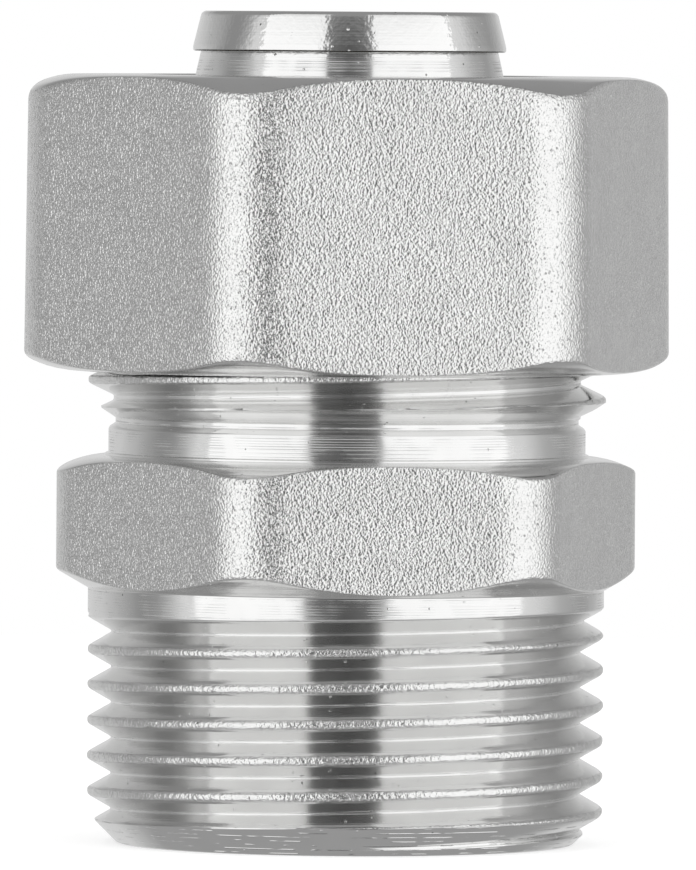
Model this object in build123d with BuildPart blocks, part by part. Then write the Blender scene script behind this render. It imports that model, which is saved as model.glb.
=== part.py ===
"""Male compression connector: 20 x 2 mm multilayer pipe to a 3/4 inch parallel pipe thread.

One forged and turned body carries the male thread, the spanner hexagon, the threaded collar and the
barbed spigot that goes inside the pipe. An insulating washer lies at the foot of the spigot, two O-rings
sit in its grooves, and a split ring is held between the mouth of the collar and the union nut.

Millimetres, +Z up along the waterway, origin at the centre of the end face of the male thread. The pieces
stand as supplied, with the nut run on by hand until the split ring touches both of its cones.
"""

import os
from math import ceil, cos, floor, radians, tan

from build123d import *

# Pipe that the connector takes, and the play round it
pipe_bore_d = 16.0
pipe_wall = 2.0
collar_play = 0.2            # collar bore off the pipe
ring_play = 0.1              # split ring off the pipe
nut_play = 0.3               # nut hole off the pipe

# Pipe threads, 55 degrees, fourteen turns to the inch
thread_pitch = 25.4 / 14
thread_angle = 55.0
male_thread_d = 26.4
male_crest_flat = 0.36
male_root_flat = 0.20
collar_wall = 3.05           # from the pipe socket to the crests of the collar thread
collar_crest_flat = 0.20
collar_root_flat = 0.25
thread_clearance = 0.10      # nut thread off the collar thread, along and across

# Male end and hexagon of the body
male_length = 13.1
male_end_chamfer = 1.55
male_thread_stop = 1.34      # last turn of the groove below the hexagon
outlet_wall = 4.2            # from the outlet to the crests of the male thread
outlet_depth = 9.0
hex_step = 0.275             # hexagon flats beyond the middle of the two threads
body_hex_height = 6.75
body_hex_corner_r = 4.0

# Collar and its conical mouth
neck_rise = 0.26             # neck above the root of the collar thread
neck_groove_height = 1.77    # tool groove above the hexagon, where the collar thread begins
neck_groove_extra = 0.1      # deeper than the thread
neck_groove_angle = 67.0     # between its two walls
collar_height = 11.65        # above the hexagon
collar_thread_turn = -55.5   # degrees from +X, where the thread leaves the tool groove
collar_edge = 0.5
mouth_step = 0.9             # mouth beyond the bore
mouth_angle = 30.0           # from the axis
socket_depth = 1.05          # floor of the pipe socket below the top of the hexagon

# Spigot
spigot_length = 22.7         # above the hexagon
spigot_tip_round = 0.3
barb_pitch = 2.05
barb_depth = 0.4
barb_land = 0.25
tip_barbs = 3
foot_barbs = 2
groove_depth = 1.3
groove_count = 2
spigot_land = 0.9
waterway_wall = 1.2          # under the O-ring grooves

# Seals
o_ring_section = 1.5
o_ring_play = 0.5            # groove wider than the O-ring
washer_thickness = 1.5
washer_seat_step = 0.35      # washer seat beyond the spigot
seal_clearance = 0.05

# Split ring
ring_height = 5.5
ring_foot_wall = 0.45
ring_head_wall = 0.4
ring_gap = 0.34              # ring inside the nut thread
ring_slit = 2.0
ring_head_angle = 45.0       # from the axis
seat_clearance = 0.05        # square to each cone

# Union nut
nut_wall = 1.65              # from the roots of the nut thread to the flats
nut_height = 15.1
nut_corner_r = 4.3
nut_draft = 0.5              # lean of the forged flats
nut_lip = 2.87               # length of the pipe hole above the inner cone
nut_lip_chamfer = 0.4
nut_undercut_extra = 0.1     # radius beyond the nut thread
nut_rest_turn = 1.2          # degrees past the hexagon of the body

# Machined ends of both hexagons
hex_chamfer_angle = 30.0
hex_chamfer_inset = 0.2      # chamfer circle inside the flats

# Radii of the pipe, its socket and the threads
spigot_r = pipe_bore_d / 2
pipe_r = spigot_r + pipe_wall
collar_bore_r = pipe_r + collar_play
ring_bore_r = pipe_r + ring_play
nut_bore_r = pipe_r + nut_play
flank = tan(radians(thread_angle / 2))
male_r = male_thread_d / 2
male_root_r = male_r - (thread_pitch - male_crest_flat - male_root_flat) / (2 * flank)
collar_r = collar_bore_r + collar_wall
collar_root_r = collar_r - (thread_pitch - collar_crest_flat - collar_root_flat) / (2 * flank)
neck_r = collar_root_r + neck_rise
neck_groove_r = collar_root_r - neck_groove_extra
outlet_r = male_r - outlet_wall
groove_r = spigot_r - groove_depth
waterway_r = groove_r - waterway_wall
washer_seat_r = spigot_r + washer_seat_step
body_hex_af = male_r + collar_r + 2 * hex_step

# Nut thread: its groove is centred on the ridge of the collar thread
nut_minor_r = collar_root_r + thread_clearance
nut_major_r = collar_r + thread_clearance
nut_groove_flat = collar_crest_flat + 2 * thread_clearance * (1 - flank)
nut_undercut_r = nut_major_r + nut_undercut_extra
nut_af = 2 * (nut_major_r + nut_wall)

# Heights
hex_bottom = male_length
hex_top = hex_bottom + body_hex_height
collar_start = hex_top + neck_groove_height
collar_top = hex_top + collar_height
socket_floor = hex_top - socket_depth
spigot_tip = hex_top + spigot_length

# Stack of the collar mouth, the split ring and the nut at rest
mouth_slope = tan(radians(mouth_angle))
head_slope = tan(radians(ring_head_angle))
mouth_r = collar_bore_r + mouth_step
ring_r = nut_minor_r - ring_gap
ring_foot_r = ring_bore_r + ring_foot_wall
ring_head_r = ring_bore_r + ring_head_wall
ring_bottom = collar_top - (mouth_r - ring_foot_r - seat_clearance / cos(radians(mouth_angle))) / mouth_slope
ring_top = ring_bottom + ring_height
nut_cone_top = ring_top + (
    ring_head_r - nut_bore_r + seat_clearance / cos(radians(ring_head_angle))) / head_slope
nut_cone_bottom = nut_cone_top - (nut_minor_r - nut_bore_r) / head_slope
nut_top = nut_cone_top + nut_lip
nut_bottom = nut_top - nut_height


def groove_section(root_r, mouth_r, root_flat, z=0.0):
    """V section of a thread groove in the XZ plane, open towards mouth_r."""
    half_root = root_flat / 2
    half_mouth = half_root + abs(mouth_r - root_r) * flank
    with BuildSketch(Plane.XZ) as section:
        with BuildLine():
            Polyline((root_r, z - half_root), (mouth_r, z - half_mouth),
                     (mouth_r, z + half_mouth), (root_r, z + half_root), close=True)
        make_face()
    return section.sketch


def groove_turn(root_r, mouth_r, root_flat):
    """One turn of a right-hand thread groove that starts over +X at height zero."""
    with BuildPart() as turn:
        with BuildLine():
            Helix(thread_pitch, thread_pitch, root_r)
        sweep(groove_section(root_r, mouth_r, root_flat), is_frenet=True)
    return turn.part


def forged_hexagon(af, corner_r, bottom, height, core_r, draft=0.0, turn=0.0):
    """Forged hexagon with round corners, bored to core_r and chamfered at both ends on the lathe."""
    chamfer_r = af / 2 - hex_chamfer_inset
    blank_r = 0.6 * af
    rise = (blank_r - chamfer_r) * tan(radians(hex_chamfer_angle))
    with BuildPart() as hexagon:
        with BuildSketch(Plane.XY.offset(bottom)) as outline:
            RegularPolygon(af / 2 + height / 2 * tan(radians(draft)), 6, major_radius=False, rotation=turn)
            fillet(outline.vertices(), corner_r)
        extrude(amount=height, taper=draft)
        with BuildSketch(Plane.XZ):
            with BuildLine():
                Polyline((core_r, bottom), (chamfer_r, bottom), (blank_r, bottom + rise),
                         (blank_r, bottom + height - rise), (chamfer_r, bottom + height),
                         (core_r, bottom + height), close=True)
            make_face()
        revolve(axis=Axis.Z, mode=Mode.INTERSECT)
    return hexagon.part


# Heights along the spigot, from its tip down
groove_width = o_ring_section + o_ring_play
tip_barb_tops = [spigot_tip - k * barb_pitch for k in range(tip_barbs)]
grooves_top = spigot_tip - tip_barbs * barb_pitch - spigot_land
groove_middles = [
    grooves_top - groove_width / 2 - k * (groove_width + spigot_land) for k in range(groove_count)]
foot_top = grooves_top - groove_count * (groove_width + spigot_land)
foot_barb_tops = [foot_top - k * barb_pitch for k in range(foot_barbs)]

# Fitting body
male_over = male_crest_flat / (4 * flank)
male_turn = groove_turn(male_root_r, male_r + male_over, male_root_flat)
male_stop = hex_bottom - male_thread_stop
male_turns = ceil(male_stop / thread_pitch) + 1

collar_over = collar_crest_flat / (4 * flank)
collar_turn = groove_turn(collar_root_r, collar_r + collar_over, collar_root_flat)
collar_turns = ceil((collar_top - collar_start) / thread_pitch) + 1

neck_groove_wall = tan(radians(neck_groove_angle / 2))
neck_groove_bottom = collar_start - collar_root_flat / 2
neck_groove_top = collar_start + collar_root_flat / 2
neck_edge = neck_groove_bottom - (neck_r - neck_groove_r) * neck_groove_wall
lead_r = collar_r + collar_over
lead_top = neck_groove_top + (lead_r - neck_groove_r) * neck_groove_wall

with BuildPart() as fitting_body:
    with BuildSketch(Plane.XZ):
        with BuildLine():
            Polyline(
                (outlet_r, 0),
                (male_r - male_end_chamfer, 0),
                (male_r, male_end_chamfer),
                (male_r, hex_bottom),
                (neck_r, hex_bottom),
                (neck_r, collar_start),
                (collar_r, collar_start),
                (collar_r, collar_top - collar_edge),
                (collar_r - collar_edge, collar_top),
                (mouth_r, collar_top),
                (collar_bore_r, collar_top - mouth_step / mouth_slope),
                (collar_bore_r, socket_floor),
                (washer_seat_r, socket_floor),
                (washer_seat_r, socket_floor + washer_thickness),
                (spigot_r, socket_floor + washer_thickness),
                (spigot_r, spigot_tip),
                (waterway_r, spigot_tip),
                (waterway_r, outlet_depth + outlet_r - waterway_r),
                (outlet_r, outlet_depth),
                close=True)
        make_face()
    revolve(axis=Axis.Z)

    # Barbs that lean towards the tip, and the two O-ring grooves
    with BuildSketch(Plane.XZ):
        for barb_top in tip_barb_tops + foot_barb_tops:
            with BuildLine():
                Polyline((spigot_r - barb_depth, barb_top), (spigot_r + barb_depth, barb_top),
                         (spigot_r + barb_depth, barb_top - barb_pitch + barb_land),
                         (spigot_r, barb_top - barb_pitch + barb_land), close=True)
            make_face()
        for groove_middle in groove_middles:
            with Locations((spigot_r - groove_depth / 2, groove_middle)):
                Rectangle(groove_depth, groove_width)
    revolve(axis=Axis.Z, mode=Mode.SUBTRACT)
    fillet(fitting_body.edges().group_by(Axis.Z)[-1], spigot_tip_round)

    add(forged_hexagon(body_hex_af, body_hex_corner_r, hex_bottom, body_hex_height,
                       core_r=(collar_bore_r + neck_r) / 2))

    # Tool groove under the collar thread: its upper wall is the lead of the thread
    with BuildSketch(Plane.XZ):
        with BuildLine():
            Polyline((neck_groove_r, neck_groove_bottom), (neck_r, neck_edge), (lead_r, neck_edge),
                     (lead_r, lead_top), (neck_groove_r, neck_groove_top), close=True)
        make_face()
    revolve(axis=Axis.Z, mode=Mode.SUBTRACT)

    # Both threads, cut turn by turn
    for k in range(collar_turns):
        with Locations(Location((0, 0, collar_start + k * thread_pitch), (0, 0, collar_thread_turn))):
            add(collar_turn, mode=Mode.SUBTRACT)
    for k in range(male_turns):
        with Locations((0, 0, male_stop - (k + 1) * thread_pitch)):
            add(male_turn, mode=Mode.SUBTRACT)

    # Run-out of the male thread: half a turn about a shifted axis lifts the groove out of the metal
    with BuildSketch(Plane.XZ):
        add(groove_section(male_root_r, male_r + male_over, male_root_flat, male_stop).faces())
    revolve(axis=Axis((-(male_r + male_over - male_root_r) / 2, 0, 0), (0, 0, 1)), revolution_arc=180,
            mode=Mode.SUBTRACT)
fitting_body.part.label = "fitting_body"

# O-rings
o_rings = []
for groove_middle in groove_middles:
    with BuildPart() as o_ring:
        with BuildSketch(Plane.XZ):
            with Locations((groove_r + o_ring_section / 2, groove_middle)):
                Circle(o_ring_section / 2)
        revolve(axis=Axis.Z)
    o_rings.append(o_ring.part)
o_ring_upper, o_ring_lower = o_rings
o_ring_upper.label = "o_ring_upper"
o_ring_lower.label = "o_ring_lower"

# Insulating washer
with BuildPart() as insulating_washer:
    with BuildSketch(Plane.XY.offset(socket_floor)):
        Circle(collar_bore_r - seal_clearance)
        Circle(washer_seat_r + seal_clearance, mode=Mode.SUBTRACT)
    extrude(amount=washer_thickness)
insulating_washer.part.label = "insulating_washer"

# Split ring
with BuildPart() as split_ring:
    with BuildSketch(Plane.XZ):
        with BuildLine():
            Polyline(
                (ring_bore_r, ring_bottom),
                (ring_foot_r, ring_bottom),
                (ring_r, ring_bottom + (ring_r - ring_foot_r) / mouth_slope),
                (ring_r, ring_top - (ring_r - ring_head_r) / head_slope),
                (ring_head_r, ring_top),
                (ring_bore_r, ring_top),
                close=True)
        make_face()
    revolve(axis=Axis.Z)
    with Locations((0, ring_r, (ring_bottom + ring_top) / 2)):
        Box(ring_slit, 2 * ring_r, 2 * ring_height, mode=Mode.SUBTRACT)
split_ring.part.label = "split_ring"

# Union nut
nut_over = (thread_pitch - nut_groove_flat - 2 * (nut_major_r - nut_minor_r) * flank) / (4 * flank)
nut_turn = groove_turn(nut_major_r, nut_minor_r - nut_over, nut_groove_flat)
nut_half_mouth = nut_groove_flat / 2 + (nut_major_r - nut_minor_r + nut_over) * flank
ridge = collar_start + thread_pitch / 2
nut_first = floor((nut_bottom - nut_half_mouth - ridge) / thread_pitch)
nut_last = floor((nut_cone_bottom - nut_half_mouth - nut_undercut_extra - ridge) / thread_pitch)
nut_stop = ridge + nut_last * thread_pitch

with BuildPart() as union_nut:
    add(forged_hexagon(nut_af, nut_corner_r, nut_bottom, nut_height, nut_bore_r / 2, nut_draft, nut_rest_turn))
    with BuildSketch(Plane.XZ):
        with BuildLine():
            Polyline(
                (0, nut_bottom),
                (nut_undercut_r, nut_bottom),
                (nut_minor_r, nut_bottom + nut_undercut_r - nut_minor_r),
                (nut_minor_r, nut_stop - nut_half_mouth - nut_undercut_extra / 2),
                (nut_undercut_r, nut_stop - nut_half_mouth - nut_undercut_extra / 2),
                (nut_undercut_r, nut_stop + nut_half_mouth + nut_undercut_extra / 2),
                (nut_minor_r, nut_stop + nut_half_mouth + nut_undercut_extra / 2),
                (nut_minor_r, nut_cone_bottom),
                (nut_bore_r, nut_cone_top),
                (nut_bore_r, nut_top - nut_lip_chamfer),
                (nut_bore_r + nut_lip_chamfer, nut_top),
                (0, nut_top),
                close=True)
        make_face()
    revolve(axis=Axis.Z, mode=Mode.SUBTRACT)
    for k in range(nut_first, nut_last):
        with Locations(Location((0, 0, ridge + k * thread_pitch), (0, 0, collar_thread_turn))):
            add(nut_turn, mode=Mode.SUBTRACT)
union_nut.part.label = "union_nut"

os.makedirs("parts", exist_ok=True)
export_step(fitting_body.part, "parts/fitting_body.step")
export_step(o_ring_upper, "parts/o_ring_upper.step")
export_step(o_ring_lower, "parts/o_ring_lower.step")
export_step(insulating_washer.part, "parts/insulating_washer.step")
export_step(split_ring.part, "parts/split_ring.step")
export_step(union_nut.part, "parts/union_nut.step")

for piece in (fitting_body.part, o_ring_upper, o_ring_lower, insulating_washer.part, split_ring.part,
              union_nut.part):
    box = piece.bounding_box()
    print(piece.label, "valid", piece.is_valid, "solids", len(piece.solids()), "volume", round(piece.volume, 1),
          "z", round(box.min.Z, 2), round(box.max.Z, 2))
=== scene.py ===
# %% [markdown]
# # A nickel-plated compression connector
# A brass connector joins a plastic pipe to a pipe thread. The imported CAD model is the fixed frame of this
# lesson: every piece made here sits where the CAD piece sits, in metres. The CAD meshes are plain triangles,
# so the two metal pieces that everyone looks at are made again with finer threads, edges and finishes.

# %% The frame
import math

import bmesh
import bpy
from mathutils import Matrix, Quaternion, Vector


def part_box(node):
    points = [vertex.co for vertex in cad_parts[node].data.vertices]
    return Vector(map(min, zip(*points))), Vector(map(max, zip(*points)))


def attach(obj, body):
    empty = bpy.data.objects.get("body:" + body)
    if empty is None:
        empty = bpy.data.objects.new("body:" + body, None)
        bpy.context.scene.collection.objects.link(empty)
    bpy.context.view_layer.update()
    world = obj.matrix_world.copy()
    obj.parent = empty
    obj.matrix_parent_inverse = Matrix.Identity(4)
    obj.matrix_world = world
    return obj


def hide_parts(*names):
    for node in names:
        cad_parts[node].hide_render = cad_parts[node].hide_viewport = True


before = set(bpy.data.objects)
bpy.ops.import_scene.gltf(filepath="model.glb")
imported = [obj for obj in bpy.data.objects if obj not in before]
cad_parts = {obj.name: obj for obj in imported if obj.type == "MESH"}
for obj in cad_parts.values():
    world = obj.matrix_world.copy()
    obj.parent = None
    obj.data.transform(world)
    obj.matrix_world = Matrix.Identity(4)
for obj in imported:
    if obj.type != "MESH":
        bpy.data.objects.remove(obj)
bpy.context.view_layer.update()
MM = 0.001

# %% [markdown]
# ## Sizes
# The real connector is a turned and forged part, so a few radii and heights say everything. They are written
# in millimetres, as on a drawing, and the nut's height comes from the frame.

# %% Drawing sizes
PITCH = 25.4 / 14
FLANK = math.tan(math.radians(27.5))
COLUMNS = 240                       # steps round the axis, the same for every surface
ROWS_PER_TURN = 22                  # three row steps on half a root, four on a flank, four on half a crest

MALE = dict(radius=13.2, depth=1.205, root_flat=0.10, crest_flat=0.34)
COLLAR = dict(radius=13.25, depth=1.31, root_flat=0.25, crest_flat=0.32)
COLLAR_NOMINAL_CREST = 0.20         # the nut thread is cut to this
HEX_BOTTOM, HEX_TOP, HEX_AF, HEX_CORNER = 13.1, 19.85, 27.0, 4.0
NECK_R, COLLAR_TOP = 12.2, 31.5
SPIGOT_R, SPIGOT_TIP = 8.0, 42.55
WATERWAY_R, WATERWAY_BOTTOM = 5.5, 12.5
OUTLET_R, OUTLET_TOP = 9.0, 9.0
CHAMFER_R = 11.65                   # foot of the chamfer that starts the male thread
SOCKET_R, SOCKET_FLOOR, RING_SEAT_R = 10.2, 18.8, 11.1
FOOT_R, FOOT_TOP = 8.35, 20.3       # the washer is centred by this foot of the spigot
NUT_AF, NUT_CORNER, NUT_DRAFT, NUT_TURN = 30.0, 4.3, math.radians(0.5), math.radians(1.2)
NUT_HOLE_R, NUT_PLAY = 10.3, 0.1
NUT_BOTTOM, NUT_TOP = (corner.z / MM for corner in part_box("union_nut"))

COLLAR_ROOT = COLLAR["radius"] - COLLAR["depth"]
print("nut from %.2f to %.2f mm" % (NUT_BOTTOM, NUT_TOP))

# %% [markdown]
# ## A thread as a rule
# A thread could be swept along a helix and cut out with a boolean, but that leaves long thin faces that shade
# badly on bright metal. Here a Geometry Nodes tree bends a plain grid into the threaded surface. Each row of
# the grid follows the groove, so crests and roots stay crisp, and the same tree makes all three threads.
# Python arithmetic on a small Field class writes the Math nodes.

# %% Fields
class Field:
    """A float socket of a node tree. Arithmetic on it adds Math nodes."""

    def __init__(self, tree, socket):
        self.tree, self.socket = tree, socket

    def math(self, operation, *others, clamp=False):
        node = self.tree.nodes.new("ShaderNodeMath")
        node.operation, node.use_clamp = operation, clamp
        for slot, value in zip(node.inputs, (self,) + others):
            if isinstance(value, Field):
                self.tree.links.new(value.socket, slot)
            else:
                slot.default_value = value
        return Field(self.tree, node.outputs[0])

    def __add__(self, other):
        return self.math("ADD", other)

    def __sub__(self, other):
        return self.math("SUBTRACT", other)

    def __mul__(self, other):
        return self.math("MULTIPLY", other)

    def __truediv__(self, other):
        return self.math("DIVIDE", other)

    def __neg__(self):
        return self.math("MULTIPLY", -1.0)

    def ramp(self, low, high):
        """Zero at low, one at high, straight between."""
        return (self - low).math("DIVIDE", high - low, clamp=True)


# %% The thread tree
LAG, LAG_TURNS, OUT_TURNS = 0.95, 0.9, 1.15
CREST_ROUND, CREST_BLEND, ROOT_ROUND = 0.10, 0.26, 0.10
CREST_STRIP = (0.20, 0.06)          # groove depths between which the crest's mask comes in
TEAR_SCALE, TEAR_DETAIL, TEAR_START = 1.4, 2.0, 0.35
THREAD_INPUTS = (
    "Sign", "Radius", "Depth", "Root Flat", "Crest Flat", "Root Blend", "Root Height",
    "Bottom", "Bottom Radius", "Bottom Slope", "Bottom Blend", "Top", "Top Radius",
    "Slow Turn", "Fade Turn", "Fade Length", "Torn", "Turns Below", "Turns")


def thread_tree():
    tree = bpy.data.node_groups.new("threaded_surface", "GeometryNodeTree")
    for name in THREAD_INPUTS:
        tree.interface.new_socket(name, in_out="INPUT", socket_type="NodeSocketFloat")
    tree.interface.new_socket("Rows", in_out="INPUT", socket_type="NodeSocketInt")
    tree.interface.new_socket("Columns", in_out="INPUT", socket_type="NodeSocketInt")
    tree.interface.new_socket("Finish", in_out="INPUT", socket_type="NodeSocketMaterial")
    tree.interface.new_socket("Surface", in_out="OUTPUT", socket_type="NodeSocketGeometry")
    group = tree.nodes.new("NodeGroupInput")
    value = {name: Field(tree, group.outputs[name]) for name in THREAD_INPUTS}

    grid = tree.nodes.new("GeometryNodeMeshGrid")
    grid.inputs["Size X"].default_value = grid.inputs["Size Y"].default_value = 1.0
    tree.links.new(group.outputs["Columns"], grid.inputs["Vertices X"])
    tree.links.new(group.outputs["Rows"], grid.inputs["Vertices Y"])
    place = tree.nodes.new("GeometryNodeInputPosition")
    parts = tree.nodes.new("ShaderNodeSeparateXYZ")
    tree.links.new(place.outputs[0], parts.inputs[0])
    around = Field(tree, parts.outputs[0]) + 0.5
    along = (Field(tree, parts.outputs[1]) + 0.5) * value["Turns"]

    def root_height(turn):
        """Height of the groove's root; after the Slow Turn the tool lags behind the feed until it is out."""
        late = (turn - value["Slow Turn"]).math("MAXIMUM", 0.0).math("MINIMUM", OUT_TURNS)
        bent = late.math("MINIMUM", LAG_TURNS)
        lag = bent * bent * LAG + (late - bent) * (2 * LAG * LAG_TURNS)
        return value["Root Height"] + turn * PITCH - lag

    flank = (value["Root Flat"] * -0.5 - value["Crest Flat"] * 0.5 + PITCH / 2) / value["Depth"]

    def cut(turn, height):
        """Depth of the groove of that turn at this height, blended into the rounds of root and crest."""
        fade = (turn - value["Fade Turn"]).math("DIVIDE", value["Fade Length"], clamp=True)
        deepest = value["Depth"] - fade * (value["Depth"] + CREST_BLEND)
        wall = deepest + (value["Root Flat"] * 0.5 - (height - root_height(turn)).math("ABSOLUTE")) / flank
        return wall.math("SMOOTH_MIN", deepest, value["Root Blend"]).math("SMOOTH_MAX", 0.0, CREST_BLEND)

    # Row heights: knots of the row spacing sit on the corners of the root and the crest
    whole = (along + 0.001).math("FLOOR")
    share = (along - whole).math("MAXIMUM", 0.0)
    rise = (share * 2.0 - 1.0).math("ABSOLUTE") * -1.0 + 1.0
    root_end, crest_start = 6.0 / ROWS_PER_TURN, 14.0 / ROWS_PER_TURN
    half_root, half_crest = value["Root Flat"] * 0.5 + ROOT_ROUND, value["Crest Flat"] * 0.5 + CREST_ROUND
    flank_width = -half_root - half_crest + PITCH / 2
    offset = (rise.ramp(0.0, root_end) * half_root + rise.ramp(root_end, crest_start) * flank_width
              + rise.ramp(crest_start, 1.0) * half_crest)
    lower = whole + around - value["Turns Below"]
    lower_root, upper_root = root_height(lower), root_height(lower + 1.0)
    offset = offset.math("MINIMUM", (upper_root - lower_root) * 0.5)
    below = share.math("LESS_THAN", 0.5)
    height = below * (lower_root + offset) + (-below + 1.0) * (upper_root - offset)
    height = height.math("MAXIMUM", value["Bottom"]).math("MINIMUM", value["Top"])

    # Radius: the blank, less the deepest groove at this height
    nearest = ((height - value["Root Height"]) / PITCH - around).math("FLOOR") + around
    depth = cut(nearest, height)
    for later in (1.0, 2.0):
        depth = depth.math("MAXIMUM", cut(nearest + later, height))
    sign = value["Sign"]
    blank = sign * value["Bottom Radius"] + (height - value["Bottom"]) * value["Bottom Slope"]
    top = sign * value["Top Radius"] + value["Top"] - height
    turned = blank.math("MINIMUM", top)
    level = sign * value["Radius"] - depth

    # Crest: the outer strip beside a groove that is still cut, torn a little by the tool
    threaded = (nearest + 1.0 - value["Fade Turn"] - value["Fade Length"] * 0.5).math("LESS_THAN", 0.0)
    crest = depth.ramp(*CREST_STRIP) * threaded * level.math("LESS_THAN", turned)
    angle = around * (2 * math.pi)
    cosine, sine = angle.math("COSINE"), angle.math("SINE")
    spot = tree.nodes.new("ShaderNodeCombineXYZ")
    for slot, field in zip(spot.inputs, (cosine * value["Radius"], sine * value["Radius"], height)):
        tree.links.new(field.socket, slot)
    tear = tree.nodes.new("ShaderNodeTexNoise")
    tear.inputs["Scale"].default_value = TEAR_SCALE
    tear.inputs["Detail"].default_value = TEAR_DETAIL
    tree.links.new(spot.outputs[0], tear.inputs["Vector"])
    torn = (Field(tree, tear.outputs[0]) - TEAR_START).math("MAXIMUM", 0.0) * value["Torn"] * crest
    radius = (level - torn).math("SMOOTH_MIN", blank, value["Bottom Blend"]).math("MINIMUM", top) * sign

    join = tree.nodes.new("ShaderNodeCombineXYZ")
    for slot, field in zip(join.inputs, (radius * cosine, radius * sine, height)):
        tree.links.new((field * MM).socket, slot)
    keep = tree.nodes.new("GeometryNodeStoreNamedAttribute")
    keep.data_type, keep.domain = "FLOAT", "POINT"
    keep.inputs["Name"].default_value = "crest"
    move = tree.nodes.new("GeometryNodeSetPosition")
    realize = tree.nodes.new("GeometryNodeRealizeInstances")
    paint = tree.nodes.new("GeometryNodeSetMaterial")
    out = tree.nodes.new("NodeGroupOutput")
    tree.links.new(grid.outputs["Mesh"], keep.inputs["Geometry"])
    tree.links.new(crest.socket, keep.inputs["Value"])
    tree.links.new(keep.outputs["Geometry"], move.inputs["Geometry"])
    tree.links.new(join.outputs[0], move.inputs["Position"])
    tree.links.new(move.outputs["Geometry"], realize.inputs["Geometry"])
    tree.links.new(realize.outputs["Geometry"], paint.inputs["Geometry"])
    tree.links.new(group.outputs["Finish"], paint.inputs["Material"])
    tree.links.new(paint.outputs["Geometry"], out.inputs["Surface"])
    return tree


THREAD_TREE = thread_tree()
print("thread tree with", len(THREAD_TREE.nodes), "nodes")

# %% [markdown]
# ## From the tree to a plain mesh
# A modifier's inputs are set by the identifiers of its sockets. The evaluated surface is copied to a plain
# mesh at once, because the later merging needs real faces.

# %% Threaded surfaces
FAR = 1000.0


def threaded_surface(name, finish, **sizes):
    """A mesh of one thread between two heights."""
    below = math.ceil((sizes["root_height"] - sizes["bottom"]) / PITCH) + 1
    turns = below + math.ceil((sizes["top"] - sizes["root_height"]) / PITCH) + 1
    values = {
        "Sign": sizes.get("sign", 1.0), "Radius": sizes["radius"], "Depth": sizes["depth"],
        "Root Flat": sizes["root_flat"], "Crest Flat": sizes["crest_flat"],
        "Root Blend": sizes.get("root_blend", 0.1), "Root Height": sizes["root_height"],
        "Bottom": sizes["bottom"], "Bottom Radius": sizes["bottom_radius"],
        "Bottom Slope": sizes.get("bottom_slope", 1.0), "Bottom Blend": sizes.get("bottom_blend", 0.0),
        "Top": sizes["top"], "Top Radius": sizes["top_radius"],
        "Slow Turn": sizes.get("slow_turn", FAR), "Fade Turn": sizes.get("fade_turn", FAR),
        "Fade Length": sizes.get("fade_length", 1.0), "Torn": sizes.get("torn", 0.0),
        "Turns Below": float(below), "Turns": float(turns), "Rows": turns * ROWS_PER_TURN + 1,
        "Columns": COLUMNS + 1, "Finish": finish}
    holder = bpy.data.objects.new(name, bpy.data.meshes.new(name))
    bpy.context.scene.collection.objects.link(holder)
    modifier = holder.modifiers.new("thread", "NODES")
    modifier.node_group = THREAD_TREE
    for item in THREAD_TREE.interface.items_tree:
        if item.in_out == "INPUT":
            modifier[item.identifier] = values[item.name]
    evaluated = holder.evaluated_get(bpy.context.evaluated_depsgraph_get())
    mesh = bpy.data.meshes.new_from_object(evaluated)
    bpy.data.objects.remove(holder)
    print(name, len(mesh.vertices), "points over", turns, "turns")
    return mesh


# %% [markdown]
# ## Turned profiles and forged hexagons
# A lathe gives every height one radius, so a turned surface is a list of (radius, height) points spun round
# the axis. A forged hexagon is the same list with a radius that changes round the axis: its rows run along
# the line where the lathe's chamfer cuts the flat, which keeps that curved edge clean.

# %% Spinning rows
def angle_of(column):
    return 2 * math.pi * column / COLUMNS


def end_row(skin):
    """The uppermost row of a threaded surface, as a row of radius and height."""
    rows = len(skin.vertices) // (COLUMNS + 1)
    ends = [skin.vertices[column * rows + rows - 1].co / MM for column in range(COLUMNS + 1)]

    def row(angle):
        place = ends[round(angle / (2 * math.pi) * COLUMNS)]
        return math.hypot(place.x, place.y), place.z
    return row


def add_rows(bm, rows, forged_rows=()):
    """Joins rows of (radius, height) functions or pairs into faces and marks the forged rows."""
    forged = bm.verts.layers.float["forged"]
    rings = []
    for number, row in enumerate(rows):
        ring = []
        for column in range(COLUMNS + 1):
            angle = angle_of(column)
            radius, height = row(angle) if callable(row) else row
            point = bm.verts.new((radius * math.cos(angle) * MM, radius * math.sin(angle) * MM, height * MM))
            point[forged] = 1.0 if number in forged_rows else 0.0
            ring.append(point)
        rings.append(ring)
    for one, two in zip(rings, rings[1:]):
        for column in range(COLUMNS):
            bm.faces.new((one[column], one[column + 1], two[column + 1], two[column]))


def hexagon_radius(angle, flat, corner, turn=0.0):
    """Radius of a hexagon with round corners, flat from the axis to a flat."""
    lean = abs((angle - turn) % (math.pi / 3) - math.pi / 6)
    tangent = math.atan((flat - corner) * math.tan(math.pi / 6) / flat)
    if lean <= tangent:
        return flat / math.cos(lean)
    centre = (flat - corner) / math.cos(math.pi / 6)
    rest = math.pi / 6 - lean
    return centre * math.cos(rest) + math.sqrt(corner ** 2 - (centre * math.sin(rest)) ** 2)


class DomedEnd:
    """Lathe-cut end of a hexagon: it drops in an arc from the inner radius, and its edge is worn round."""

    def __init__(self, height, way, inner, lean, dome, edge):
        self.height, self.way, self.inner, self.lean = height, way, inner, math.radians(lean)
        self.dome, self.edge = dome, edge

    def lean_at(self, radius):
        return math.asin(math.sin(self.lean) + (radius - self.inner) / self.dome)

    def drop(self, radius):
        return self.dome * (math.cos(self.lean) - math.cos(self.lean_at(radius)))


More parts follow.
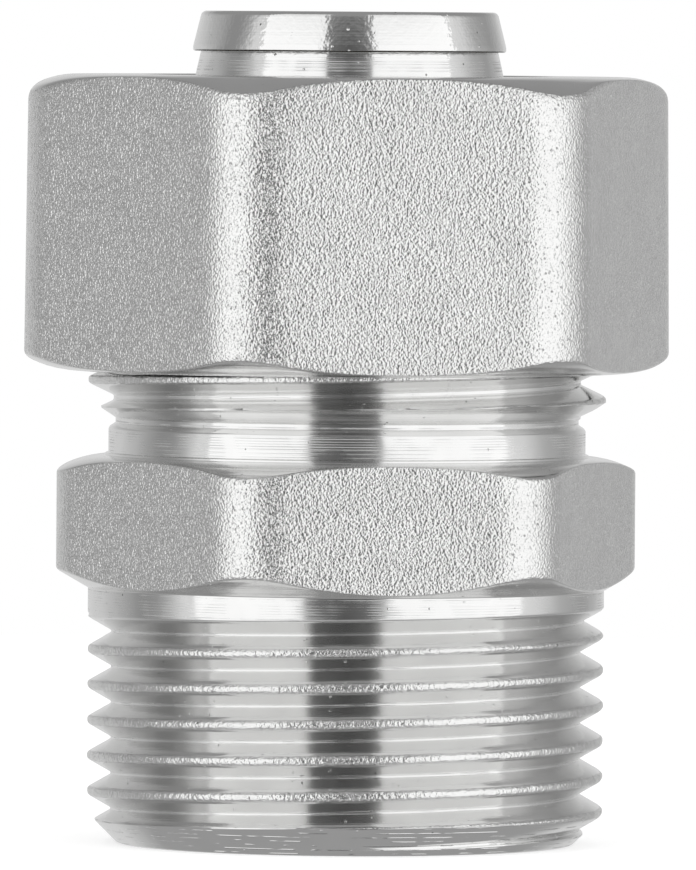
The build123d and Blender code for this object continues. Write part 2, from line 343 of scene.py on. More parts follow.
FLAT_EDGE = 0.08                    # round of the edge in the middle of a flat
CHAMFER_STEPS, EDGE_STEPS, FLAT_STEPS = 5, 4, 5


def hexagon_rows(bottom, top, af, corner, draft=0.0, turn=0.0):
    """Rows up a forged hexagon, and the numbers of those between which the metal is as forged."""
    middle = (bottom.height + top.height) / 2
    vertex = hexagon_radius(turn, af / 2, corner, turn)

    def forged_radius(angle, height):
        return hexagon_radius(angle, af / 2 + (middle - height) * math.tan(draft), corner, turn)

    def worn_edge(end, angle):
        """Centre and radius of the edge's round, widest on the corners, and the lean of the end there."""
        height = end.height
        for _ in range(4):
            height = end.height + end.way * end.drop(forged_radius(angle, height))
        radius = forged_radius(angle, height)
        share = min(max((radius - af / 2) / (vertex - af / 2), 0.0), 1.0)
        round_r = FLAT_EDGE + (end.edge - FLAT_EDGE) * share
        lean = end.lean_at(radius)
        centre = height + end.way * round_r * (1 / math.cos(lean) - math.tan(lean))
        return radius - round_r, centre, round_r, lean

    def edge_row(end, share):
        """A row on the round of the edge, from the forged flat at share 0 to the end at share 1."""
        def row(angle):
            radius, height, round_r, lean = worn_edge(end, angle)
            rise = share * (math.pi / 2 - lean)
            return radius + round_r * math.cos(rise), height - end.way * round_r * math.sin(rise)
        return row

    def chamfer_row(end, share):
        outer = edge_row(end, 1.0)

        def row(angle):
            radius = end.inner + share * (outer(angle)[0] - end.inner)
            return radius, end.height + end.way * end.drop(radius)
        return row

    def flat_row(share):
        def row(angle):
            low, high = worn_edge(bottom, angle)[1], worn_edge(top, angle)[1]
            height = low + share * (high - low)
            return forged_radius(angle, height), height
        return row

    def end_rows(end):
        chamfer = [chamfer_row(end, k / CHAMFER_STEPS) for k in range(CHAMFER_STEPS)]
        return chamfer + [edge_row(end, 1 - k / EDGE_STEPS) for k in range(EDGE_STEPS)]

    rows = end_rows(bottom) + [flat_row(k / FLAT_STEPS) for k in range(FLAT_STEPS + 1)] + end_rows(top)[::-1]
    first = CHAMFER_STEPS + EDGE_STEPS // 2
    return rows, range(first, len(rows) - first)


def arc(centre, radius, start, stop, steps=5):
    """Points of an arc in the (radius, height) plane, angles in degrees from outwards to up."""
    return [(centre[0] + radius * math.cos(math.radians(start + (stop - start) * k / steps)),
             centre[1] + radius * math.sin(math.radians(start + (stop - start) * k / steps)))
            for k in range(steps + 1)]


def new_shape():
    bm = bmesh.new()
    bm.verts.layers.float.new("forged")
    return bm


def finished_piece(bm, name, material, sharp_degrees=26.0):
    """Closes the seams of a shape and makes it an object with crisp edges."""
    bmesh.ops.remove_doubles(bm, verts=bm.verts, dist=2e-7)
    bmesh.ops.recalc_face_normals(bm, faces=bm.faces)
    left_open = sum(not edge.is_manifold for edge in bm.edges)
    mesh = bpy.data.meshes.new(name)
    bm.to_mesh(mesh)
    bm.free()
    mesh.materials.clear()
    mesh.materials.append(material)
    mesh.polygons.foreach_set("use_smooth", [True] * len(mesh.polygons))
    mesh.polygons.foreach_set("material_index", [0] * len(mesh.polygons))
    mesh.set_sharp_from_angle(angle=math.radians(sharp_degrees))
    piece = bpy.data.objects.new(name, mesh)
    bpy.context.scene.collection.objects.link(piece)
    triangles = sum(len(face.vertices) - 2 for face in mesh.polygons)
    print(name, triangles, "triangles,", left_open, "open edges")
    return piece


# %% [markdown]
# ## Nickel plate
# Every visible face is nickel on brass, but three processes show through the plating. The forged flats were
# blasted, which leaves a sparkling grain. The lathe left fine rings on the turned faces. The thread crests
# are the torn skin of the bar. One function makes the nickel of both pieces and reads the masks that are
# stored on their meshes.

# %% Material helpers
def node_maker(material):
    tree = material.node_tree

    def node(kind, links=None, **settings):
        made = tree.nodes.new(kind)
        for name, value in settings.items():
            setattr(made, name, value)
        for slot, source in (links or {}).items():
            target = made.inputs[slot]
            if hasattr(source, "is_output"):
                tree.links.new(source, target)
            else:
                target.default_value = source
        return made
    return tree, node


def plain_material(name):
    material = bpy.data.materials.new(name)
    material.use_nodes = True
    return material, material.node_tree.nodes["Principled BSDF"]


# %% Nickel
# Noise scales for each metre, and heights in metres
BOWL_SCALE, BOWL_DEPTH = 6800.0, 3.0e-5
GRAIN_SCALE, GRAIN_HEIGHT = 10500.0, 3.5e-5
BEAD_SCALE, BEAD_HEIGHT, BEAD_CHANCE = 3200.0, 3.4e-5, 0.4
SPECK_SCALE, PIMPLE_HEIGHT, PIMPLE_CHANCE, DIRT_CHANCE = 1500.0, 2.2e-5, 0.55, 0.85
RING_SCALE, RING_HEIGHT = 9000.0, 5.0e-6
WAVE_SCALE, WAVE_HEIGHT = 1300.0, 3.0e-6
PEEL_SCALE, PEEL_HEIGHT = 4200.0, 9.0e-6
TORN_SCALE, TORN_HEIGHT = 5200.0, 7.5e-5
SCRATCH_SCALE, SCRATCH_PATCH_SCALE = 15000.0, 700.0
EDGE_SCALE, STREAK_SCALE, CLOUD_SCALE = 2600.0, 2600.0, 420.0
STREAK_STRETCH, STREAK_TOP = (0.3, 0.3, 1.4), 1.45 * MM
FEED_RIDGE, RIDGE_SHARE, RIDGE_SLOPE = 0.11 * MM, 0.7, 0.9
PALE_NICKEL, DARK_NICKEL = (0.825, 0.825, 0.82, 1.0), (0.745, 0.745, 0.74, 1.0)
DIRT = (0.10, 0.10, 0.095, 1.0)
CREST_ROUGHNESS = 0.2


def nickel_plate(name, peel_from=None):
    """Nickel on brass. Above the height peel_from, in millimetres, the plating has an orange-peel skin.

    Without that height the piece is the nut, which shows neither thread crests nor the end chamfer, where the
    body keeps the feed ridges of the tool.
    """
    material, surface = plain_material(name)
    tree, node = node_maker(material)

    def value(socket):
        return Field(tree, socket)

    surface.inputs["Metallic"].default_value = 1.0
    place = node("ShaderNodeTexCoord").outputs["Object"]
    axes = node("ShaderNodeSeparateXYZ", {0: place})
    level = value(axes.outputs[2])
    flat = node("ShaderNodeCombineXYZ", {0: axes.outputs[0], 1: axes.outputs[1]})
    radius = node("ShaderNodeVectorMath", {0: flat.outputs[0]}, operation="LENGTH").outputs["Value"]
    ring_place = node("ShaderNodeCombineXYZ", {0: radius, 2: axes.outputs[2]}).outputs[0]

    def noise(scale, detail, vector=place):
        made = node("ShaderNodeTexNoise", {"Vector": vector, "Scale": scale, "Detail": detail})
        return value(made.outputs[0])

    def cells(scale):
        """Distance from the middle of a cell, and two chances for each cell."""
        made = node("ShaderNodeTexVoronoi", {"Vector": place, "Scale": scale})
        chances = node("ShaderNodeSeparateColor", {0: made.outputs["Color"]})
        return value(made.outputs["Distance"]), value(chances.outputs[0]), value(chances.outputs[1])

    # Masks: ragged edges, because blasting and the tool stop nowhere exactly
    ragged = noise(EDGE_SCALE, 1.0)
    forged_here = value(node("ShaderNodeAttribute", attribute_name="forged").outputs["Fac"])
    forged = (forged_here + ragged * 0.7).ramp(0.75, 1.0)
    facing = node("ShaderNodeSeparateXYZ", {0: node("ShaderNodeNewGeometry").outputs["Normal"]})
    upright = value(facing.outputs[2]).math("ABSOLUTE").ramp(0.6, 0.3)
    scratches = noise(SCRATCH_SCALE, 0.0, ring_place).ramp(0.47, 0.64)
    scratches = scratches * noise(SCRATCH_PATCH_SCALE, 1.0).ramp(0.34, 0.60) * upright

    # Heights of the finishes
    bowl = value(node("ShaderNodeTexVoronoi", {"Vector": place, "Scale": BOWL_SCALE}).outputs["Distance"])
    bead_far, bead_chance, _ = cells(BEAD_SCALE)
    bead = bead_far.ramp(0.20, 0.05) * bead_chance.math("GREATER_THAN", BEAD_CHANCE)
    blast = bowl * bowl * BOWL_DEPTH + noise(GRAIN_SCALE, 1.0) * GRAIN_HEIGHT + bead * BEAD_HEIGHT
    speck_far, pimple_chance, dirt_chance = cells(SPECK_SCALE)
    pimple = speck_far.ramp(0.11, 0.03) * pimple_chance.math("GREATER_THAN", PIMPLE_CHANCE)
    rings = noise(RING_SCALE, 1.0, ring_place) * RING_HEIGHT
    turned = rings + pimple * PIMPLE_HEIGHT + noise(WAVE_SCALE, 0.0) * WAVE_HEIGHT
    if peel_from:
        peeled = level.ramp((peel_from - 0.3) * MM, peel_from * MM)
        scratches = scratches * (-peeled + 1.0)
        stretch = node("ShaderNodeVectorMath", {0: place, 1: STREAK_STRETCH}, operation="MULTIPLY")
        streaks = noise(STREAK_SCALE, 1.0, stretch.outputs[0]).ramp(0.51, 0.58)
        streaks = streaks * level.ramp(STREAK_TOP, STREAK_TOP - 0.15 * MM)
        ridge = (level.math("PINGPONG", FEED_RIDGE) - RIDGE_SHARE * FEED_RIDGE).math("MAXIMUM", 0.0)
        peel = noise(PEEL_SCALE, 1.0) * PEEL_HEIGHT * peeled
        turned = turned + peel + ridge * streaks * RIDGE_SLOPE
    height = node("ShaderNodeMix", {"Factor": forged.socket, "A": turned.socket, "B": blast.socket})
    if peel_from:
        crest_here = value(node("ShaderNodeAttribute", attribute_name="crest").outputs["Fac"])
        crest = (crest_here + ragged * 0.8).ramp(0.85, 1.0)
        torn = noise(TORN_SCALE, 2.0) * TORN_HEIGHT
        height = node("ShaderNodeMix", {"Factor": crest.socket, "A": height.outputs[0], "B": torn.socket})
    bump = node("ShaderNodeBump", {"Height": height.outputs[0], "Distance": 1.0, "Strength": 1.0})
    tree.links.new(bump.outputs[0], surface.inputs["Normal"])

    # Roughness and tone follow the same masks
    cloud = noise(CLOUD_SCALE, 2.0)
    turned_rough = cloud * 0.07 + scratches * 0.4 + 0.07
    forged_rough = ragged * 0.08 + 0.07
    rough = node("ShaderNodeMix", {"Factor": forged.socket, "A": turned_rough.socket,
                                   "B": forged_rough.socket})
    if peel_from:
        rough = node("ShaderNodeMix", {"Factor": crest.socket, "A": rough.outputs[0],
                                       "B": CREST_ROUGHNESS})
    tree.links.new(rough.outputs[0], surface.inputs["Roughness"])
    tone = node("ShaderNodeMix", {"Factor": cloud.socket, "A": DARK_NICKEL, "B": PALE_NICKEL},
                data_type="RGBA")
    dirt = speck_far.ramp(0.10, 0.06) * dirt_chance.math("GREATER_THAN", DIRT_CHANCE)
    dirt = dirt * (forged * -0.8 + 0.8)
    soiled = node("ShaderNodeMix", {"Factor": dirt.socket, "A": tone.outputs["Result"], "B": DIRT},
                  data_type="RGBA")
    tree.links.new(soiled.outputs["Result"], surface.inputs["Base Color"])
    return material


BODY_NICKEL = nickel_plate("nickel_body", peel_from=SPIGOT_TIP - 2.2)
NUT_NICKEL = nickel_plate("nickel_nut")
print("nickel with", len(BODY_NICKEL.node_tree.nodes), "nodes")

# %% [markdown]
# ## The body
# The body is one piece from the male thread to the tip of the spigot. Going up the outside, over the tip and
# back down the waterway gives one closed profile. The two threads come from the tree and share the points of
# the rings where they meet the turned rows.

# %% Body threads
MALE_BOTTOM, MALE_TOP = 0.08, 12.9
MALE_ROOT_HEIGHT = 9.943 - 5 * PITCH
SLOW_TURN = 5 + 170 / 360           # from here the tool leaves the male thread
TORN = 0.14
TOOL_GROOVE_WALL = math.tan(math.radians(67.0 / 2))
TOOL_GROOVE_HALF = 0.125            # half the width of the groove's floor
collar_start = HEX_TOP + 1.77
collar_root_height = collar_start + PITCH * 55.5 / 360
tool_groove_r = COLLAR_ROOT - 0.1
groove_low, groove_high = collar_start - TOOL_GROOVE_HALF, collar_start + TOOL_GROOVE_HALF
male_skin = threaded_surface(
    "male_thread", BODY_NICKEL, **MALE, root_blend=0.08, root_height=MALE_ROOT_HEIGHT, bottom=MALE_BOTTOM,
    bottom_radius=CHAMFER_R + MALE_BOTTOM, bottom_blend=0.25, top=MALE_TOP, top_radius=MALE["radius"],
    slow_turn=SLOW_TURN, fade_turn=SLOW_TURN + 0.4, fade_length=0.75, torn=TORN)
collar_skin = threaded_surface(
    "collar_thread", BODY_NICKEL, **COLLAR, root_height=collar_root_height, bottom=groove_high,
    bottom_radius=tool_groove_r, bottom_slope=1 / TOOL_GROOVE_WALL, top=COLLAR_TOP,
    top_radius=COLLAR["radius"] - 0.5, torn=TORN)

# %% Body profile
BARB_PITCH, BARB_LAND, BARB_EDGE, VALLEY_R = 2.05, 0.25, 0.1, 7.6
GROOVE_R, GROOVE_HALF, GROOVE_STEP = 6.7, 1.0, 2.9      # grooves of the O-rings
SMALL_EDGE, LAND = 0.05, 0.9
TIP_ROUND, TIP_ROUND_R = 0.3, 7.32                      # round of the tip and where its centre is


def barb(top):
    """One barb from its radial step up to the valley under the next one."""
    step = top - BARB_PITCH
    edge = arc((SPIGOT_R - BARB_EDGE, step + BARB_EDGE), BARB_EDGE, -90, 0, 4)
    return edge + [(SPIGOT_R, step + BARB_LAND - 0.05), (SPIGOT_R - 0.005, step + BARB_LAND),
                   (SPIGOT_R - 0.02, step + BARB_LAND + 0.08), (VALLEY_R, top)]


def seal_groove(middle):
    """The groove of one O-ring, with small chamfers at its lips and floor."""
    low, high = middle - GROOVE_HALF, middle + GROOVE_HALF
    lip, floor_edge = SPIGOT_R - SMALL_EDGE, GROOVE_R + SMALL_EDGE
    return [(SPIGOT_R, low - SMALL_EDGE), (lip, low), (floor_edge, low), (GROOVE_R, low + SMALL_EDGE),
            (GROOVE_R, high - SMALL_EDGE), (floor_edge, high), (lip, high), (SPIGOT_R, high + SMALL_EDGE)]


hex_foot = DomedEnd(HEX_BOTTOM, 1, inner=13.3, lean=30.0, dome=FAR, edge=0.3)
hex_head = DomedEnd(HEX_TOP, -1, inner=12.5, lean=3.3, dome=5.2, edge=0.25)
hex_rows, hex_forged = hexagon_rows(hex_foot, hex_head, HEX_AF, HEX_CORNER)
outlet = [(WATERWAY_R, WATERWAY_BOTTOM), (OUTLET_R, OUTLET_TOP), (OUTLET_R, 0.2), (OUTLET_R + 0.2, 0.0),
          (CHAMFER_R - 0.15, 0.0), (CHAMFER_R - 0.03, 0.025), (CHAMFER_R + MALE_BOTTOM, MALE_BOTTOM)]
shoulder = [(MALE["radius"], MALE_TOP), (MALE["radius"], HEX_BOTTOM - 0.04),
            (MALE["radius"] + 0.03, HEX_BOTTOM), (hex_foot.inner, HEX_BOTTOM)]
neck_edge = groove_low - (NECK_R - tool_groove_r) * TOOL_GROOVE_WALL
neck = [(hex_head.inner, HEX_TOP), (NECK_R + 0.17, HEX_TOP + 0.01), (NECK_R + 0.15, HEX_TOP + 0.09),
        (NECK_R + 0.12, HEX_TOP + 0.11), (NECK_R + 0.03, HEX_TOP + 0.12), (NECK_R + 0.005, HEX_TOP + 0.14),
        (NECK_R, HEX_TOP + 0.18), (NECK_R, neck_edge - 0.1),
        (NECK_R - 0.03, neck_edge - 0.03), (NECK_R - 0.08, neck_edge + 0.05),
        (tool_groove_r, groove_low), (tool_groove_r, groove_high)]
seat_bottom = COLLAR_TOP - (RING_SEAT_R - SOCKET_R) / math.tan(math.pi / 6)
inside = [end_row(collar_skin), (RING_SEAT_R, COLLAR_TOP), (SOCKET_R, seat_bottom),
          (SOCKET_R, SOCKET_FLOOR), (FOOT_R, SOCKET_FLOOR), (FOOT_R, FOOT_TOP - SMALL_EDGE),
          (FOOT_R - SMALL_EDGE, FOOT_TOP), (SPIGOT_R, FOOT_TOP)]
grooves_top = SPIGOT_TIP - 3 * BARB_PITCH - LAND
barbs_top = grooves_top - 2 * GROOVE_STEP
spigot = barb(barbs_top - BARB_PITCH) + barb(barbs_top) + [(SPIGOT_R, barbs_top)]
spigot += seal_groove(grooves_top - GROOVE_HALF - GROOVE_STEP) + seal_groove(grooves_top - GROOVE_HALF)
spigot += [(SPIGOT_R, grooves_top + LAND)]
spigot += barb(SPIGOT_TIP - 2 * BARB_PITCH) + barb(SPIGOT_TIP - BARB_PITCH) + barb(SPIGOT_TIP)[:-1]
tip = arc((TIP_ROUND_R, SPIGOT_TIP - TIP_ROUND), TIP_ROUND, 8, 90)
tip += arc((WATERWAY_R + TIP_ROUND, SPIGOT_TIP - TIP_ROUND), TIP_ROUND, 90, 180)
waterway = [(WATERWAY_R, 30.0), (WATERWAY_R, WATERWAY_BOTTOM)]
print("inner profile with", len(inside + spigot + tip + waterway), "rows")

# %% Body piece
shape = new_shape()
for skin in (male_skin, collar_skin):
    shape.from_mesh(skin)
add_rows(shape, outlet)
add_rows(shape, shoulder)
add_rows(shape, hex_rows, hex_forged)
add_rows(shape, neck)
add_rows(shape, inside + spigot + tip + waterway)
body_piece = finished_piece(shape, "body_metal", BODY_NICKEL)
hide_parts("fitting_body")
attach(body_piece, "fitting")

# %% [markdown]
# ## The union nut
# The nut is a hot forging with slightly leaning flats. Its female thread is the same tree with the sign
# turned round: the groove then grows outwards. The groove runs out into an undercut below the inner cone.

# %% Nut piece
nut_minor, nut_major = COLLAR_ROOT + NUT_PLAY, COLLAR["radius"] + NUT_PLAY
nut_depth = nut_major - nut_minor
nut_root_flat = COLLAR_NOMINAL_CREST + 2 * NUT_PLAY * (1 - FLANK)
undercut_r = nut_major + 0.1
half_mouth = nut_root_flat / 2 + nut_depth * FLANK + 0.1
cone_top = NUT_TOP - 2.87
cone_bottom = cone_top - (nut_minor - NUT_HOLE_R)
undercut_top = cone_bottom - 0.15
undercut_bottom = undercut_top - 2 * half_mouth
nut_skin = threaded_surface(
    "nut_thread", NUT_NICKEL, sign=-1.0, radius=nut_minor, depth=nut_depth, root_flat=nut_root_flat,
    crest_flat=PITCH - nut_root_flat - 2 * nut_depth * FLANK, root_height=collar_root_height + PITCH / 2,
    bottom=NUT_BOTTOM, bottom_radius=undercut_r, top=undercut_bottom, top_radius=nut_minor)
nut_foot = DomedEnd(NUT_BOTTOM, 1, inner=14.0, lean=0.0, dome=4.8, edge=0.4)
nut_head = DomedEnd(NUT_TOP, -1, inner=14.0, lean=0.0, dome=4.2, edge=0.9)
nut_rows, nut_forged = hexagon_rows(nut_foot, nut_head, NUT_AF, NUT_CORNER, NUT_DRAFT, NUT_TURN)
nut_inside = [(nut_head.inner, NUT_TOP), (NUT_HOLE_R + 0.45, NUT_TOP), (NUT_HOLE_R + 0.38, NUT_TOP - 0.03),
              (NUT_HOLE_R + 0.03, NUT_TOP - 0.37), (NUT_HOLE_R, NUT_TOP - 0.45), (NUT_HOLE_R, cone_top),
              (nut_minor, cone_bottom), (nut_minor, undercut_top),
              (undercut_r, undercut_top), (undercut_r, undercut_bottom), end_row(nut_skin)]
shape = new_shape()
shape.from_mesh(nut_skin)
add_rows(shape, [(undercut_r, NUT_BOTTOM), (nut_foot.inner, NUT_BOTTOM)])
add_rows(shape, nut_rows, nut_forged)
add_rows(shape, nut_inside)
nut_piece = finished_piece(shape, "nut_metal", NUT_NICKEL)
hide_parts("union_nut")
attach(nut_piece, "nut")

# %% [markdown]
# ## The small parts inside
# The split ring, the insulating washer and the O-rings hide in the socket. Their CAD shapes are right, so
# they stay and only get their finishes: turned brass, smooth white plastic and dull black rubber.

# %% Finishes of the small parts
def turned_brass():
    material, surface = plain_material("brass_ring")
    tree, node = node_maker(material)
    surface.inputs["Metallic"].default_value = 1.0
    place = node("ShaderNodeTexCoord").outputs["Object"]
    cloud = node("ShaderNodeTexNoise", {"Vector": place, "Scale": 500.0, "Detail": 3.0})
    tone = node("ShaderNodeMix", {"Factor": cloud.outputs["Fac"], "A": (0.62, 0.44, 0.16, 1.0),
                                  "B": (0.76, 0.58, 0.27, 1.0)}, data_type="RGBA")
    rough = node("ShaderNodeMapRange", {"Value": cloud.outputs["Fac"], "To Min": 0.2, "To Max": 0.36})
    axes = node("ShaderNodeSeparateXYZ", {0: place})
    rings = node("ShaderNodeTexNoise", {"Scale": 8000.0, "W": axes.outputs[2]}, noise_dimensions="1D")
    bump = node("ShaderNodeBump", {"Height": rings.outputs["Fac"], "Distance": 2.0e-6})
    tree.links.new(tone.outputs["Result"], surface.inputs["Base Color"])
    tree.links.new(rough.outputs[0], surface.inputs["Roughness"])
    tree.links.new(bump.outputs[0], surface.inputs["Normal"])
    return material


def moulded(name, dark, pale, rough_low, rough_high, grain_scale, grain_height):
    """A moulded plastic or rubber with a fine grain."""
    material, surface = plain_material(name)
    tree, node = node_maker(material)
    place = node("ShaderNodeTexCoord").outputs["Object"]
    cloud = node("ShaderNodeTexNoise", {"Vector": place, "Scale": 600.0, "Detail": 2.0})
    grain = node("ShaderNodeTexNoise", {"Vector": place, "Scale": grain_scale, "Detail": 2.0})
    tone = node("ShaderNodeMix", {"Factor": cloud.outputs["Fac"], "A": dark, "B": pale}, data_type="RGBA")
    rough = node("ShaderNodeMapRange", {"Value": grain.outputs["Fac"], "To Min": rough_low,
                                        "To Max": rough_high})
    bump = node("ShaderNodeBump", {"Height": grain.outputs["Fac"], "Distance": grain_height})
    tree.links.new(tone.outputs["Result"], surface.inputs["Base Color"])
    tree.links.new(rough.outputs[0], surface.inputs["Roughness"])
    tree.links.new(bump.outputs[0], surface.inputs["Normal"])
    return material


washer_plastic = moulded(
    "washer_plastic", dark=(0.80, 0.80, 0.78, 1.0), pale=(0.88, 0.88, 0.86, 1.0),
    rough_low=0.35, rough_high=0.5, grain_scale=4000.0, grain_height=4e-6)
seal_rubber = moulded(
    "seal_rubber", dark=(0.018, 0.018, 0.018, 1.0), pale=(0.035, 0.035, 0.034, 1.0),
    rough_low=0.5, rough_high=0.68, grain_scale=6000.0, grain_height=3e-6)
for cad_name, finish in (("split_ring", turned_brass()), ("insulating_washer", washer_plastic),
                         ("o_ring_upper", seal_rubber), ("o_ring_lower", seal_rubber)):
    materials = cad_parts[cad_name].data.materials
    materials.clear()
    materials.append(finish)
    print(cad_name, "is", finish.name)

# %% [markdown]
# ## Studio
# Bright metal shows its surroundings, so the studio is most of the look. Two upright soft lights stand left
# and right of the camera, and the dark gap between them makes the dark band down the middle of every turned
# surface. The floor and the world are white to the camera. The metal sees a paper drum round the set in their
# place, and its greys are what the flats and the turned faces show.

# %% Camera
VIEW_AZIMUTH, VIEW_RISE = math.radians(-10.0), math.radians(1.7)
VIEW_DISTANCE, VIEW_HEIGHT, VIEW_ROLL = 0.725, 0.0445, math.radians(0.4)
AIM_HEIGHT, AIM_ASIDE = 0.0209, 0.00005
across = Vector((math.cos(VIEW_AZIMUTH), math.sin(VIEW_AZIMUTH), 0.0))
target = Vector((0.0, 0.0, AIM_HEIGHT)) + across * AIM_ASIDE
level_back = Vector((math.sin(VIEW_AZIMUTH), -math.cos(VIEW_AZIMUTH), 0.0))
back = level_back * math.cos(VIEW_RISE) + Vector((0.0, 0.0, math.sin(VIEW_RISE)))
camera_data = bpy.data.cameras.new("camera")
camera_data.sensor_fit = "VERTICAL"
camera_data.sensor_height = 24.0
camera_data.lens = camera_data.sensor_height * VIEW_DISTANCE / VIEW_HEIGHT
camera_data.clip_start = 0.05
camera = bpy.data.objects.new("camera", camera_data)
camera.location = target + back * VIEW_DISTANCE
camera.rotation_euler = ((-back).to_track_quat("-Z", "Y") @ Quaternion((0, 0, 1), VIEW_ROLL)).to_euler()
bpy.context.scene.collection.objects.link(camera)
bpy.context.scene.camera = camera
print("camera at", [round(v, 4) for v in camera.location], "lens %.0f mm" % camera_data.lens)

# %% Soft lights
def soft_light(name, turn, distance, width, height, radiance):
    """An upright panel of light that faces the object, turn degrees to the right of the camera."""
    data = bpy.data.lights.new(name, "AREA")
    data.shape, data.size, data.size_y = "RECTANGLE", width, height
    data.energy = radiance * math.pi * width * height
    azimuth = VIEW_AZIMUTH + math.radians(turn)
    lamp = bpy.data.objects.new(name, data)
    lamp.location = Vector((math.sin(azimuth), -math.cos(azimuth), 0.0)) * distance
    lamp.rotation_euler = lamp.location.to_track_quat("Z", "Y").to_euler()
    lamp.visible_camera = False
    bpy.context.scene.collection.objects.link(lamp)
    print(name, "%.1f W" % data.energy)


soft_light("left_panel", turn=-44.0, distance=0.45, width=0.44, height=1.36, radiance=0.60)
soft_light("right_panel", turn=50.75, distance=0.45, width=0.59, height=1.36, radiance=0.60)

# %% A paper drum for the reflections
DRUM_RADIUS, DRUM_LOW, DRUM_HIGH, DRUM_SIDES = 0.80, -1.20, 1.24, 72
WALL_GREYS = (                      # degrees to the right of the camera, and the grey there
    (-180, 0.84), (-140, 0.80), (-122, 0.62), (-104, 0.36), (-95, 0.36), (-86, 0.52), (-77, 1.00),
    (-66, 0.75), (-22, 0.72), (-15, 0.22), (0, 0.13), (12, 0.20), (20, 0.70), (80, 0.75),
    (87, 1.00), (96, 0.90), (110, 0.58), (130, 0.44), (146, 0.62), (160, 0.80), (180, 0.84))
ABOVE_GREY, BELOW_GREY, WALL_LEVEL = 0.38, 0.44, 0.85
FADE = (0.36, 0.66)                 # heights where the wall goes over to the greys above and below
SOONER_BEHIND = 0.25                # behind the object it goes over to the grey above that much lower


def wall_paper():
    """A plain glow with greys by the way the wall is seen."""
    material = bpy.data.materials.new("wall_paper")
    material.use_nodes = True
    tree, node = node_maker(material)
    axes = node("ShaderNodeSeparateXYZ", {0: node("ShaderNodeTexCoord").outputs["Object"]})
    toward = Field(tree, axes.outputs[1]) * -1.0
    turn = Field(tree, axes.outputs[0]).math("ARCTAN2", toward) / (2 * math.pi) + 0.5
    ramp = node("ShaderNodeValToRGB", {0: turn.socket})
    stops = ramp.color_ramp.elements
    for degrees, _ in WALL_GREYS[1:-1]:
        stops.new(degrees / 360 + 0.5)
    for stop, (_, grey) in zip(stops, WALL_GREYS):
        stop.color = (grey, grey, grey, 1.0)
    level = Field(tree, axes.outputs[2])
    shade = ramp.outputs[0]
    sooner = level + toward.ramp(0.0, -0.5) * SOONER_BEHIND
    for height, grey in ((sooner, ABOVE_GREY), (-level, BELOW_GREY)):
        mix = node("ShaderNodeMix", {"Factor": height.ramp(*FADE).socket, "A": shade,
                                     "B": (grey, grey, grey, 1.0)}, data_type="RGBA")
        shade = mix.outputs["Result"]
    glow = node("ShaderNodeEmission", {"Color": shade, "Strength": WALL_LEVEL})
    tree.links.new(glow.outputs[0], tree.nodes["Material Output"].inputs["Surface"])
    return material


def circle(radius, sides, height):
    turns = [2 * math.pi * k / sides for k in range(sides)]
    return [(radius * math.cos(turn), radius * math.sin(turn), height) for turn in turns]


drum_mesh = bpy.data.meshes.new("drum")
sides = []
for k in range(DRUM_SIDES):
    after = (k + 1) % DRUM_SIDES
    sides.append((k, after, after + DRUM_SIDES, k + DRUM_SIDES))
caps = [list(range(DRUM_SIDES)), list(range(DRUM_SIDES, 2 * DRUM_SIDES))]
drum_points = circle(DRUM_RADIUS, DRUM_SIDES, DRUM_LOW) + circle(DRUM_RADIUS, DRUM_SIDES, DRUM_HIGH)
drum_mesh.from_pydata(drum_points, [], sides + caps)
drum_mesh.materials.append(wall_paper())
drum = bpy.data.objects.new("drum", drum_mesh)
drum.rotation_euler.z = VIEW_AZIMUTH
drum.visible_camera = drum.visible_diffuse = drum.visible_shadow = False
bpy.context.scene.collection.objects.link(drum)
print("drum with", len(WALL_GREYS), "greys round the object")

# %% White surroundings
SEEN = ("Is Camera Ray", "Is Glossy Ray", "Is Transmission Ray")
SKY_GREY, FLOOR_GREY, FLOOR_GLOW = (0.75, 0.75, 0.75, 1.0), (0.70, 0.70, 0.70, 1.0), 0.55
FLOOR_RADIUS, FLOOR_SIDES = 0.24, 96


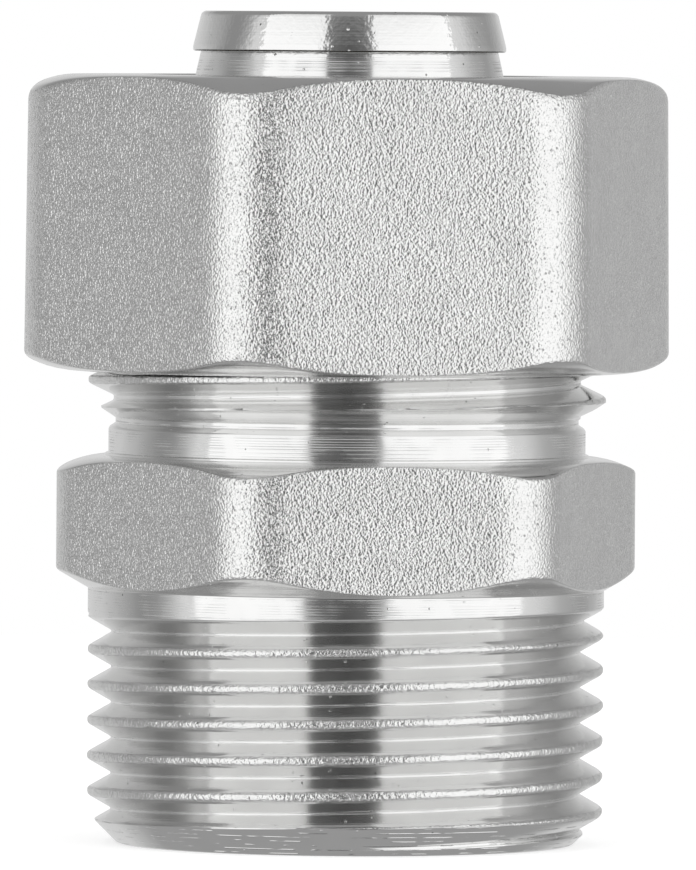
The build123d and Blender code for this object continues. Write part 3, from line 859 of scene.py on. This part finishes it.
def white_background(tree, plain_shader, white_shader, kinds):
    """Mixes a plain shader, which lights the object, with the white that rays of these kinds see."""
    rays = tree.nodes.new("ShaderNodeLightPath")
    seen = Field(tree, rays.outputs[kinds[0]])
    for kind in kinds[1:]:
        seen = seen.math("MAXIMUM", Field(tree, rays.outputs[kind]))
    mix = tree.nodes.new("ShaderNodeMixShader")
    tree.links.new(seen.socket, mix.inputs[0])
    tree.links.new(plain_shader, mix.inputs[1])
    tree.links.new(white_shader, mix.inputs[2])
    return mix.outputs[0]


world = bpy.data.worlds.new("studio")
bpy.context.scene.world = world
world.use_nodes = True
sky_tree = world.node_tree
plain_sky = sky_tree.nodes["Background"]
plain_sky.inputs["Color"].default_value = SKY_GREY
white_sky = sky_tree.nodes.new("ShaderNodeBackground")
white_sky.inputs["Color"].default_value = (1.0, 1.0, 1.0, 1.0)
sky_tree.links.new(white_background(sky_tree, plain_sky.outputs[0], white_sky.outputs[0], SEEN),
                   sky_tree.nodes["World Output"].inputs["Surface"])

floor_mesh = bpy.data.meshes.new("floor")
floor_mesh.from_pydata(circle(FLOOR_RADIUS, FLOOR_SIDES, 0.0), [], [range(FLOOR_SIDES)])
floor = bpy.data.objects.new("floor", floor_mesh)
bpy.context.scene.collection.objects.link(floor)
floor_paint, floor_surface = plain_material("white_floor")
floor_surface.inputs["Base Color"].default_value = FLOOR_GREY
floor_surface.inputs["Roughness"].default_value = 0.9
floor_surface.inputs["Specular IOR Level"].default_value = 0.0
floor_tree = floor_paint.node_tree
glow = floor_tree.nodes.new("ShaderNodeEmission")
glow.inputs["Strength"].default_value = FLOOR_GLOW
bright = floor_tree.nodes.new("ShaderNodeAddShader")
floor_tree.links.new(floor_surface.outputs[0], bright.inputs[0])
floor_tree.links.new(glow.outputs[0], bright.inputs[1])
floor_tree.links.new(white_background(floor_tree, floor_surface.outputs[0], bright.outputs[0], SEEN[:1]),
                     floor_tree.nodes["Material Output"].inputs["Surface"])
floor_mesh.materials.append(floor_paint)
floor.visible_glossy = False
bpy.context.scene.view_settings.view_transform = "Standard"
print("white floor, %.2f m across" % (2 * FLOOR_RADIUS))
